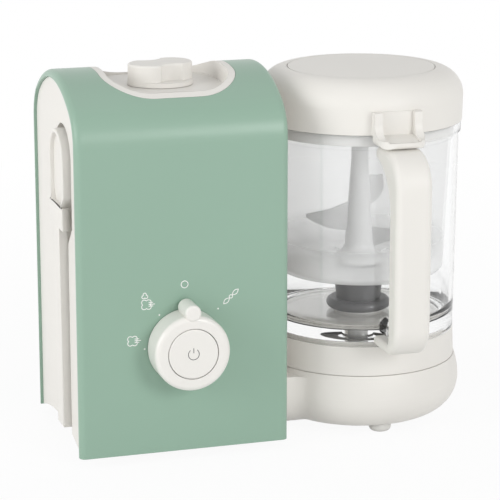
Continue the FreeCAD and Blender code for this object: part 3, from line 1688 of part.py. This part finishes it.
def make_cord_gland():
    gland = piece("cord_gland", (tower_x, axis_y + half_depth, dim.gland_level), backwards)
    inside = -dim.wrap_wall
    nut_low = inside - dim.gland_nut
    turned(gland, [
        (dim.gland_bore, nut_low),
        (dim.gland_flange_radius, nut_low),
        (dim.gland_flange_radius, inside),
        (dim.gland_radius, inside),
        (dim.gland_radius, 0),
        (dim.gland_flange_radius, 0),
        (dim.gland_radius + dim.gland_flange / 2, dim.gland_flange),
        (dim.gland_bore, dim.gland_flange),
    ])


def check_and_export():
    doc.recompute()
    for thing in doc.Objects:
        if "Invalid" in thing.State or "Error" in thing.State:
            raise RuntimeError(f"{thing.Label} {thing.Name} failed: {thing.State}")
    for cut in cuts:
        if cut.Shape.Volume >= cut.BaseFeature.Shape.Volume - 1e-3:
            raise RuntimeError(f"{cut.Name} in {cut.getParentGeoFeatureGroup().Label} removes nothing")
    os.makedirs("parts", exist_ok=True)
    for node in nodes:
        shape = node.Shape
        if shape.isNull() or not shape.isValid() or not shape.Solids:
            raise RuntimeError(f"{node.Label} has no valid solid")
        shape.exportStep(f"parts/{node.Label}.step")
    print(len(nodes), "pieces written")


make_wrap_shell()
make_left_side_cover()
make_right_side_cover()
make_spatula()
make_filler_dish()
make_tank_cap()
make_base_housing()
make_base_plate()
make_feet_and_screws()
make_bearings_and_spindle()
make_drive()
make_couplings()
make_motor()
make_jug()
make_jug_collar()
make_jug_handle()
make_blade_bush()
make_steam_basket()
make_blades()
make_lid()
make_boiler()
make_steam_way()
make_controls()
make_cord_gland()
check_and_export()
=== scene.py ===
import math

import bmesh
import bpy
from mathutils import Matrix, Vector


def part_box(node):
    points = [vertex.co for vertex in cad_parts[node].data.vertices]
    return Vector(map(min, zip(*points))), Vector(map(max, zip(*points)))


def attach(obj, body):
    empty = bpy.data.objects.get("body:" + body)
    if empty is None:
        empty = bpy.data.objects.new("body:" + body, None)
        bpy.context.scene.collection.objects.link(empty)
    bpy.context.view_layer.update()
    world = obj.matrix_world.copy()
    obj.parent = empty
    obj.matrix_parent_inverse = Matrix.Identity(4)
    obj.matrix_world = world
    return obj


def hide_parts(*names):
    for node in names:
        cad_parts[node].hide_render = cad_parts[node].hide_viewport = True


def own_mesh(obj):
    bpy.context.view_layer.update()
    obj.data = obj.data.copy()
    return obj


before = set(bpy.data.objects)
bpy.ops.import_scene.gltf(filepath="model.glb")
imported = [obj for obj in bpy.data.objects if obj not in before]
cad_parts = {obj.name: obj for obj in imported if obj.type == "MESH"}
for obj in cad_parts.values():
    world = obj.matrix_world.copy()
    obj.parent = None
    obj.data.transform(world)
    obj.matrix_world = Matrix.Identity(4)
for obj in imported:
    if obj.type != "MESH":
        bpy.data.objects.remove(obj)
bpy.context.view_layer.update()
print("frame loaded:", len(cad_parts), "nodes")


# A socket that can be used in plain maths: every result is a new Math node
class Signal:
    def __init__(self, tree, socket):
        self.tree = tree
        self.socket = socket

    def math(self, operation, first, second=0.0):
        return self.node("ShaderNodeMath", {"operation": operation}, {0: first, 1: second})

    def __add__(self, other):
        return self.math("ADD", self, other)

    def __radd__(self, other):
        return self.math("ADD", other, self)

    def __sub__(self, other):
        return self.math("SUBTRACT", self, other)

    def __rsub__(self, other):
        return self.math("SUBTRACT", other, self)

    def __mul__(self, other):
        return self.math("MULTIPLY", self, other)

    def __rmul__(self, other):
        return self.math("MULTIPLY", other, self)

    # Any other node: its type, its settings, then the values or links of its sockets
    def node(self, kind, settings=None, inputs=None, output=0):
        made = self.tree.nodes.new(kind)
        for name, value in (settings or {}).items():
            setattr(made, name, value)
        for name, value in (inputs or {}).items():
            if isinstance(value, Signal):
                self.tree.links.new(value.socket, made.inputs[name])
            else:
                made.inputs[name].default_value = value
        return Signal(self.tree, made.outputs[output])


def newMaterial(name):
    material = bpy.data.materials.new(name)
    material.use_nodes = True
    tree = material.node_tree
    shader = tree.nodes["Principled BSDF"]
    return material, Signal(tree, shader.outputs[0]), shader


def feed(signal, shader, name, value):
    signal.tree.links.new(value.socket, shader.inputs[name])


def surface(signal, shader):
    signal.tree.links.new(shader.socket, signal.tree.nodes["Material Output"].inputs["Surface"])


def noise(signal, scale, detail):
    place = signal.node("ShaderNodeTexCoord", output="Object")
    return signal.node("ShaderNodeTexNoise", {}, {"Vector": place, "Scale": scale, "Detail": detail})


# Nought below one level of the object and one above the other
def rise(signal, low, high):
    place = signal.node("ShaderNodeTexCoord", output="Object")
    level = signal.node("ShaderNodeSeparateXYZ", {}, {0: place}, output="Z")
    limits = {"Value": level, "From Min": low, "From Max": high}
    return signal.node("ShaderNodeMapRange", {"clamp": True}, limits)


# A colour mix shares its sockets' names with other kinds of mix, so they go by number
mixSockets = {"amount": 0, "first": 6, "second": 7, "result": 2}


def mixColour(signal, amount, first, second):
    inputs = {mixSockets["amount"]: amount, mixSockets["first"]: first, mixSockets["second"]: second}
    return signal.node("ShaderNodeMix", {"data_type": "RGBA"}, inputs, output=mixSockets["result"])


# A fine relief over edges that are softened by a fraction of a millimetre
softEdges = {"radius": 0.0004, "samples": 4}


def bump(signal, height, strength, distance):
    soft = signal.node("ShaderNodeBevel", {"samples": softEdges["samples"]}, {"Radius": softEdges["radius"]})
    return signal.node(
        "ShaderNodeBump", {}, {"Strength": strength, "Distance": distance, "Height": height, "Normal": soft}
    )


# One for rays of any of these kinds, and nought for all others
def raysOf(signal, *kinds):
    outputs = signal.node("ShaderNodeLightPath").socket.node.outputs
    found = Signal(signal.tree, outputs[kinds[0]])
    for kind in kinds[1:]:
        found = signal.math("MAXIMUM", found, Signal(signal.tree, outputs[kind]))
    return found


# Moulded plastics: a tint that drifts a little, a fine sparked grain and a sheen that varies with handling
plastics = {
    "sagePlastic": {
        "colour": (0.298, 0.442, 0.350, 1), "shade": (0.284, 0.424, 0.334, 1),
        "roughness": 0.30, "spread": 0.07, "grain": 0.04, "grainScale": 1900, "coat": 0.0, "gloss": 0.35,
    },
    "warmWhite": {
        "colour": (0.815, 0.795, 0.755, 1), "shade": (0.775, 0.755, 0.715, 1),
        "roughness": 0.44, "spread": 0.08, "grain": 0.04, "grainScale": 1700, "coat": 0.0, "gloss": 0.3,
    },
    "knobWhite": {
        "colour": (0.840, 0.820, 0.785, 1), "shade": (0.805, 0.785, 0.745, 1),
        "roughness": 0.30, "spread": 0.06, "grain": 0.03, "grainScale": 1900, "coat": 0.2, "gloss": 0.5,
    },
    "bladeGrey": {
        "colour": (0.84, 0.84, 0.84, 1), "shade": (0.80, 0.80, 0.80, 1),
        "roughness": 0.40, "spread": 0.08, "grain": 0.05, "grainScale": 1500, "coat": 0.0, "gloss": 0.5,
    },
    "charcoal": {
        "colour": (0.055, 0.056, 0.058, 1), "shade": (0.040, 0.041, 0.043, 1),
        "roughness": 0.42, "spread": 0.1, "grain": 0.08, "grainScale": 1400, "coat": 0.0, "gloss": 0.5,
    },
    "bushGrey": {
        "colour": (0.105, 0.105, 0.107, 1), "shade": (0.085, 0.085, 0.087, 1),
        "roughness": 0.38, "spread": 0.1, "grain": 0.05, "grainScale": 1400, "coat": 0.0, "gloss": 0.5,
        "foot": {"colour": (0.62, 0.62, 0.61, 1), "low": 0.0735, "high": 0.0745},
    },
    "silicone": {
        "colour": (0.82, 0.815, 0.80, 1), "shade": (0.76, 0.755, 0.74, 1),
        "roughness": 0.55, "spread": 0.1, "grain": 0.06, "grainScale": 900, "coat": 0.0, "gloss": 0.5,
    },
    "footRubber": {
        "colour": (0.76, 0.75, 0.72, 1), "shade": (0.68, 0.67, 0.64, 1),
        "roughness": 0.65, "spread": 0.12, "grain": 0.1, "grainScale": 800, "coat": 0.0, "gloss": 0.5,
    },
    "boardGreen": {
        "colour": (0.03, 0.13, 0.06, 1), "shade": (0.02, 0.09, 0.045, 1),
        "roughness": 0.35, "spread": 0.1, "grain": 0.05, "grainScale": 500, "coat": 0.3, "gloss": 0.5,
    },
}

# What all mouldings share: noise scales for each metre, depths in metres
moulding = {
    "driftScale": 9.0, "handlingScale": 38.0, "detail": 2.0, "handlingDetail": 4.0, "depth": 0.0002,
    "coatRoughness": 0.25, "ior": 1.48,
}


def makePlastic(name, look):
    material, signal, shader = newMaterial(name)
    drift = noise(signal, moulding["driftScale"], moulding["detail"])
    grain = noise(signal, look["grainScale"], moulding["detail"])
    handling = noise(signal, moulding["handlingScale"], moulding["handlingDetail"])
    tint = mixColour(signal, drift, look["colour"], look["shade"])
    if "foot" in look:
        foot = look["foot"]
        tint = mixColour(signal, rise(signal, foot["low"], foot["high"]), foot["colour"], tint)
    feed(signal, shader, "Base Color", tint)
    feed(signal, shader, "Roughness", look["roughness"] + (handling - 0.5) * look["spread"])
    feed(signal, shader, "Normal", bump(signal, grain, look["grain"], moulding["depth"]))
    shader.inputs["Coat Weight"].default_value = look["coat"]
    shader.inputs["Specular IOR Level"].default_value = look["gloss"]
    shader.inputs["Coat Roughness"].default_value = moulding["coatRoughness"]
    shader.inputs["IOR"].default_value = moulding["ior"]
    return material


# Clear moulding: lamps and bounced light pass straight through, so what stands inside is lit
clears = {
    "clearBowl": {
        "tint": (0.996, 0.999, 0.999, 1), "polish": 0.02, "ior": 1.49, "ripple": 0.03, "rippleScale": 60,
        "rippleDetail": 1.0, "rippleDepth": 0.0004, "passes": (0.99, 0.992, 0.992, 1),
    },
}


def letLampsThrough(signal, tint):
    lamps = raysOf(signal, "Is Shadow Ray", "Is Diffuse Ray")
    through = signal.node("ShaderNodeBsdfTransparent", {}, {"Color": tint})
    surface(signal, signal.node("ShaderNodeMixShader", {}, {0: lamps, 1: signal, 2: through}))


def makeClear(name, look):
    material, signal, shader = newMaterial(name)
    shader.inputs["Base Color"].default_value = look["tint"]
    shader.inputs["Transmission Weight"].default_value = 1.0
    shader.inputs["IOR"].default_value = look["ior"]
    flow = noise(signal, look["rippleScale"], look["rippleDetail"])
    feed(signal, shader, "Roughness", flow * look["polish"])
    feed(signal, shader, "Normal", bump(signal, flow, look["ripple"], look["rippleDepth"]))
    letLampsThrough(signal, look["passes"])
    return material


# Frosted moulding: a thin milky wall, denser towards its foot
milky = {
    "frostedBasket": {
        "colour": (0.98, 0.98, 0.98, 1), "shade": (0.95, 0.95, 0.95, 1), "alpha": 0.15, "roughness": 0.5,
        "spread": 0.1, "driftScale": 14.0, "grain": 0.08, "grainScale": 900, "passes": (0.99, 0.99, 0.99, 1),
        "foot": {"alpha": 0.62, "low": 0.104, "high": 0.134},
    },
}


def makeMilky(name, look):
    material, signal, shader = newMaterial(name)
    drift = noise(signal, look["driftScale"], moulding["detail"])
    grain = noise(signal, look["grainScale"], moulding["detail"])
    feed(signal, shader, "Base Color", mixColour(signal, drift, look["colour"], look["shade"]))
    feed(signal, shader, "Roughness", look["roughness"] + (drift - 0.5) * look["spread"])
    feed(signal, shader, "Normal", bump(signal, grain, look["grain"], moulding["depth"]))
    foot = look["foot"]
    thin = rise(signal, foot["low"], foot["high"])
    feed(signal, shader, "Alpha", foot["alpha"] + thin * (look["alpha"] - foot["alpha"]))
    letLampsThrough(signal, look["passes"])
    return material


# Metals: brushed along one direction
metals = {
    "stainless": {"colour": (0.60, 0.60, 0.60, 1), "roughness": 0.26, "stretch": (40, 40, 1800)},
    "satinSteel": {"colour": (0.62, 0.62, 0.62, 1), "roughness": 0.5, "stretch": (60, 60, 900)},
    "machined": {"colour": (0.72, 0.72, 0.73, 1), "roughness": 0.32, "stretch": (30, 30, 1500)},
    "bronze": {"colour": (0.55, 0.37, 0.18, 1), "roughness": 0.38, "stretch": (300, 300, 900)},
}
brushed = {"shade": 0.86, "spread": 0.14, "grain": 0.05, "depth": 0.0001, "detail": 2.0}


def makeMetal(name, look):
    material, signal, shader = newMaterial(name)
    place = signal.node("ShaderNodeTexCoord", output="Object")
    along = signal.node("ShaderNodeMapping", {}, {"Vector": place, "Scale": look["stretch"]})
    fibres = {"Vector": along, "Scale": 1.0, "Detail": brushed["detail"]}
    brushing = signal.node("ShaderNodeTexNoise", {}, fibres)
    dark = tuple(value * brushed["shade"] for value in look["colour"][:3]) + (1,)
    feed(signal, shader, "Base Color", mixColour(signal, brushing, look["colour"], dark))
    feed(signal, shader, "Roughness", look["roughness"] + (brushing - 0.5) * brushed["spread"])
    feed(signal, shader, "Normal", bump(signal, brushing, brushed["grain"], brushed["depth"]))
    shader.inputs["Metallic"].default_value = 1.0
    return material


finishes = {name: makePlastic(name, look) for name, look in plastics.items()}
finishes.update({name: makeClear(name, look) for name, look in clears.items()})
finishes.update({name: makeMilky(name, look) for name, look in milky.items()})
finishes.update({name: makeMetal(name, look) for name, look in metals.items()})
print("finishes made:", len(finishes))

# Which finish each piece of the machine wears
dressing = {
    "sagePlastic": ["wrap_shell"],
    "warmWhite": [
        "left_side_cover", "right_side_cover", "spatula", "filler_dish", "tank_cap", "base_housing",
        "base_plate", "jug_collar", "jug_handle", "lid_shell", "lid_disc", "steam_nozzle",
    ],
    "knobWhite": ["selector_knob", "start_button"],
    "bladeGrey": ["blade_hub", "driven_pulley"],
    "satinSteel": ["middle_blade", "upper_blade", "lower_blade"],
    "bushGrey": ["blade_bush"],
    "charcoal": [
        "blade_coupling", "drive_coupling", "motor_fan", "drive_belt", "knob_sleeve", "rotary_switch",
        "push_switch", "cord_gland",
    ],
    "silicone": ["cap_seal", "hub_seal", "lid_seal", "nozzle_seal", "steam_pipe"],
    "footRubber": ["rubber_feet"],
    "boardGreen": ["control_board"],
    "clearBowl": ["jug"],
    "frostedBasket": ["steam_basket"],
    "stainless": [
        "base_screws", "drive_spindle", "motor_bracket", "motor_can", "motor_screws", "motor_shaft",
        "blade_shaft", "boiler", "heating_element", "button_spring",
    ],
    "machined": ["motor_pulley", "thermostat"],
    "bronze": ["upper_bearing", "lower_bearing"],
}


def dressNodes():
    for finish, names in dressing.items():
        for name in names:
            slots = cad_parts[name].data.materials
            slots.clear()
            slots.append(finishes[finish])
    print("nodes dressed")


dressNodes()

# Printed marks round the dial, in millimetres from the dial's middle, drawn as thin raised lines
marks = {
    "panelY": -0.04625, "dial": (-0.0705, 0.077), "line": 0.00036, "sunk": 0.0002, "roundness": 2,
    "perMetre": 1000, "colour": (0.90, 0.90, 0.88, 1), "shade": (0.86, 0.86, 0.84, 1),
    "ring": {"place": (0, 41), "radius": 2.3},
    "steam": {
        "places": [(-35, 6), (-25.5, 29.5)], "radius": 2.5, "swell": 1.3, "lobes": 4,
        "lines": (-1.1, 0.1, 1.3), "lineStart": 1.4, "lineEnd": 5.6, "longest": 0.1,
    },
    "star": {"place": (-26.5, 35.2), "radius": 1.1, "swell": 1.0, "lobes": 3},
    "chopper": {"place": (31, 30.5), "hub": 1.1, "root": (1.0, 0.9), "tip": (5.0, 4.6), "width": 2.6},
    "dots": {"places": [(-27, 0), (-17, 22), (22.3, 23)], "radius": 0.3, "steps": 12},
    "buttonMark": {
        "ring": 3.6, "opening": 38, "steps": 32, "barLow": 0.25, "barHigh": 1.15, "line": 0.00032,
        "colour": (0.085, 0.085, 0.09, 1), "shade": (0.070, 0.070, 0.075, 1),
    },
}


def lobes(middle, radius, swell, count, turn=0.0, steps=48):
    points = []
    for step in range(steps):
        angle = 2 * math.pi * step / steps
        reach = radius + swell * abs(math.cos(count * (angle - turn) / 2))
        points.append((middle[0] + reach * math.cos(angle), middle[1] + reach * math.sin(angle)))
    return points


def leaf(start, end, width, steps=16):
    along = Vector((end[0] - start[0], end[1] - start[1]))
    across = Vector((-along.y, along.x)).normalized() * width / 2
    there = [(step / steps, math.sin(math.pi * step / steps)) for step in range(steps)]
    points = []
    for side, stops in ((1, there), (-1, [(1 - share, bulge) for share, bulge in there])):
        for share, bulge in stops:
            spot = Vector(start) + along * share + across * bulge * side
            points.append((spot.x, spot.y))
    return points


def dialStrokes():
    ring, steam, star = marks["ring"], marks["steam"], marks["star"]
    chopper, dots = marks["chopper"], marks["dots"]
    strokes = [(lobes(ring["place"], ring["radius"], 0, 1), True)]
    for x, z in steam["places"]:
        strokes.append((lobes((x, z), steam["radius"], steam["swell"], steam["lobes"], math.pi / 4), True))
        for lift in steam["lines"]:
            end = x + steam["lineEnd"] - abs(lift - steam["longest"])
            strokes.append(([(x + steam["lineStart"], z + lift), (end, z + lift)], False))
    strokes.append((lobes(star["place"], star["radius"], star["swell"], star["lobes"], math.pi / 2), True))
    x, z = chopper["place"]
    strokes.append((lobes((x, z), chopper["hub"], 0, 1), True))
    for side in (-1, 1):
        ends = [(x + side * reach[0], z + side * reach[1]) for reach in (chopper["root"], chopper["tip"])]
        strokes.append((leaf(*ends, chopper["width"]), True))
    for spot in dots["places"]:
        strokes.append((lobes(spot, dots["radius"], 0, 1, steps=dots["steps"]), True))
    return strokes


def drawStrokes(name, strokes, middle, level, line):
    curve = bpy.data.curves.new(name + "Lines", "CURVE")
    curve.dimensions = "3D"
    curve.bevel_depth = line
    curve.bevel_resolution = marks["roundness"]
    curve.use_fill_caps = True
    for points, closed in strokes:
        spline = curve.splines.new("POLY")
        spline.points.add(len(points) - 1)
        spline.use_cyclic_u = closed
        for point, (x, z) in zip(spline.points, points):
            point.co = (middle[0] + x / marks["perMetre"], level, middle[1] + z / marks["perMetre"], 1)
    drawn = bpy.data.objects.new(name + "Lines", curve)
    bpy.context.scene.collection.objects.link(drawn)
    bpy.context.view_layer.update()
    mesh = bpy.data.meshes.new_from_object(drawn.evaluated_get(bpy.context.evaluated_depsgraph_get()))
    bpy.data.objects.remove(drawn)
    bpy.data.curves.remove(curve)
    for face in mesh.polygons:
        face.use_smooth = True
    made = bpy.data.objects.new(name, mesh)
    bpy.context.scene.collection.objects.link(made)
    return made


def makeMarks():
    look = dict(plastics["knobWhite"], colour=marks["colour"], shade=marks["shade"])
    level = marks["panelY"] + marks["sunk"]
    printed = drawStrokes("dialMarks", dialStrokes(), marks["dial"], level, marks["line"])
    printed.data.materials.append(makePlastic("printWhite", look))
    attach(printed, "housing")
    button = marks["buttonMark"]
    half = math.radians(button["opening"])
    steps = button["steps"]
    turns = [math.pi / 2 + half + (2 * math.pi - 2 * half) * step / steps for step in range(steps + 1)]
    arc = [(button["ring"] * math.cos(turn), button["ring"] * math.sin(turn)) for turn in turns]
    bar = [(0, button["ring"] * button["barLow"]), (0, button["ring"] * button["barHigh"])]
    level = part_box("start_button")[0][1] + marks["sunk"]
    symbol = drawStrokes("buttonMark", [(arc, False), (bar, False)], marks["dial"], level, button["line"])
    look = dict(plastics["charcoal"], colour=button["colour"], shade=button["shade"])
    symbol.data.materials.append(makePlastic("printGrey", look))
    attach(symbol, "button")
    print("marks drawn")


makeMarks()

# The spatula stands out of its recess: its face, scoop and strap are drawn out and their edges rounded
spatula = {
    "node": "spatula", "cover": "left_side_cover", "body": "spatula", "drawnOut": 0.0038, "strapGap": 0.0008,
    "scoopDepth": 0.003, "edge": 0.0008, "segments": 3, "flat": 0.9, "smooth": 35, "weld": 1e-6,
    "coplanar": 1,
}


def drawOutSpatula():
    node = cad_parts[spatula["node"]]
    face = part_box(spatula["cover"])[0][0]
    bm = bmesh.new()
    bm.from_mesh(node.data)
    bmesh.ops.remove_doubles(bm, verts=bm.verts, dist=spatula["weld"])
    coplanar = math.radians(spatula["coplanar"])
    bmesh.ops.dissolve_limit(bm, angle_limit=coplanar, verts=bm.verts, edges=bm.edges)
    proud = [vert for vert in bm.verts if vert.co.x < face - spatula["strapGap"]]
    scoop = [vert for vert in bm.verts if face < vert.co.x < face + spatula["scoopDepth"]]
    bmesh.ops.translate(bm, verts=proud + scoop, vec=(-spatula["drawnOut"], 0, 0))
    bm.normal_update()
    rims = []
    for edge in bm.edges:
        outward = [side.normal.x < -spatula["flat"] for side in edge.link_faces]
        if edge.verts[0] in proud and edge.verts[1] in proud and any(outward) and not all(outward):
            rims.append(edge)
    bmesh.ops.bevel(
        bm, geom=rims, offset=spatula["edge"], segments=spatula["segments"], profile=0.5, affect="EDGES",
        clamp_overlap=True, material=-1,
    )
    mesh = bpy.data.meshes.new("spatulaDrawnOut")
    bm.to_mesh(mesh)
    bm.free()
    for side in mesh.polygons:
        side.use_smooth = True
    mesh.set_sharp_from_angle(angle=math.radians(spatula["smooth"]))
    made = bpy.data.objects.new("spatulaDrawnOut", mesh)
    bpy.context.scene.collection.objects.link(made)
    mesh.materials.append(finishes["warmWhite"])
    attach(made, spatula["body"])
    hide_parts(spatula["node"])
    print("spatula drawn out:", len(rims), "rims rounded")


drawOutSpatula()

# The button's return spring is given a mesh of its own
spring = {"node": "button_spring", "joint": "button_press", "travel": 0.0025}


def pressSpring():
    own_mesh(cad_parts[spring["node"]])


pressSpring()

# Studio: pale floor, soft key from the front right, broad fill from the left
studio = {
    "floorRadius": 3.0, "floorSegments": 96, "floorColour": (0.88, 0.88, 0.88, 1), "floorRoughness": 0.9,
    "fadeStart": 0.2, "fadeEnd": 0.9, "nearWhite": 0.93, "ambientLow": 0.80, "ambientHigh": 0.45,
    "seenBy": ("Is Camera Ray", "Is Glossy Ray", "Is Transmission Ray"), "white": (1, 1, 1, 1),
    "lamps": [
        {"name": "key", "place": (0.7, -1.65, 0.75), "aim": (0, 0, 0.12), "size": 0.8, "power": 11.0},
        {"name": "fill", "place": (-1.75, -0.4, 0.65), "aim": (0, 0, 0.12), "size": 1.2, "power": 13.5},
        {"name": "top", "place": (0.1, 0.3, 1.7), "aim": (0, 0, 0.1), "size": 1.2, "power": 1.2},
    ],
}


def makeFloor():
    bm = bmesh.new()
    bmesh.ops.create_circle(bm, cap_ends=True, radius=studio["floorRadius"], segments=studio["floorSegments"])
    mesh = bpy.data.meshes.new("floor")
    bm.to_mesh(mesh)
    bm.free()
    floor = bpy.data.objects.new("floor", mesh)
    bpy.context.scene.collection.objects.link(floor)
    material, signal, shader = newMaterial("paleFloor")
    shader.inputs["Base Color"].default_value = studio["floorColour"]
    shader.inputs["Roughness"].default_value = studio["floorRoughness"]
    shader.inputs["Specular IOR Level"].default_value = 0.0
    place = signal.node("ShaderNodeTexCoord", output="Object")
    reach = signal.node("ShaderNodeVectorMath", {"operation": "LENGTH"}, {0: place}, output="Value")
    fade = signal.node(
        "ShaderNodeMapRange", {"clamp": True},
        {
            "Value": reach, "From Min": studio["fadeStart"], "From Max": studio["fadeEnd"],
            "To Min": studio["nearWhite"],
        },
    )
    shown = raysOf(signal, *studio["seenBy"])
    white = signal.node("ShaderNodeEmission", {}, {"Color": studio["white"], "Strength": 1.0})
    surface(signal, signal.node("ShaderNodeMixShader", {}, {0: fade * shown, 1: signal, 2: white}))
    mesh.materials.append(material)


def makeSky():
    world = bpy.data.worlds.new("studioWorld")
    bpy.context.scene.world = world
    world.use_nodes = True
    sky = Signal(world.node_tree, world.node_tree.nodes["Background"].outputs[0])
    shown = raysOf(sky, *studio["seenBy"])
    heading = sky.node("ShaderNodeTexCoord", output="Generated")
    height = sky.node("ShaderNodeSeparateXYZ", {}, {0: heading}, output="Z")
    ambient = sky.node(
        "ShaderNodeMapRange", {"clamp": True},
        {"Value": height, "To Min": studio["ambientLow"], "To Max": studio["ambientHigh"]},
    )
    strength = ambient + shown * (1.0 - ambient)
    background = sky.socket.node
    background.inputs["Color"].default_value = studio["white"]
    sky.tree.links.new(strength.socket, background.inputs["Strength"])


def aim(thing, place, target):
    thing.location = Vector(place)
    thing.rotation_euler = (Vector(target) - Vector(place)).to_track_quat("-Z", "Y").to_euler()
    bpy.context.scene.collection.objects.link(thing)


def makeLamps():
    for lamp in studio["lamps"]:
        light = bpy.data.lights.new(lamp["name"], "AREA")
        light.shape = "DISK"
        light.size = lamp["size"]
        light.energy = lamp["power"]
        aim(bpy.data.objects.new(lamp["name"], light), lamp["place"], lamp["aim"])


makeFloor()
makeSky()
makeLamps()
print("studio set")

# Camera fitted to the photograph's own perspective
view = {
    "place": (-0.43835, -1.37719, 0.48726), "aim": (-0.00676, 0.01775, 0.12069), "lens": 160.1,
    "sensor": 36, "farthest": 20,
}


def makeCamera():
    data = bpy.data.cameras.new("camera")
    data.lens = view["lens"]
    data.sensor_width = view["sensor"]
    data.clip_end = view["farthest"]
    camera = bpy.data.objects.new("camera", data)
    aim(camera, view["place"], view["aim"])
    bpy.context.scene.camera = camera
    bpy.context.scene.view_settings.view_transform = "Standard"
    print("camera placed")


makeCamera()
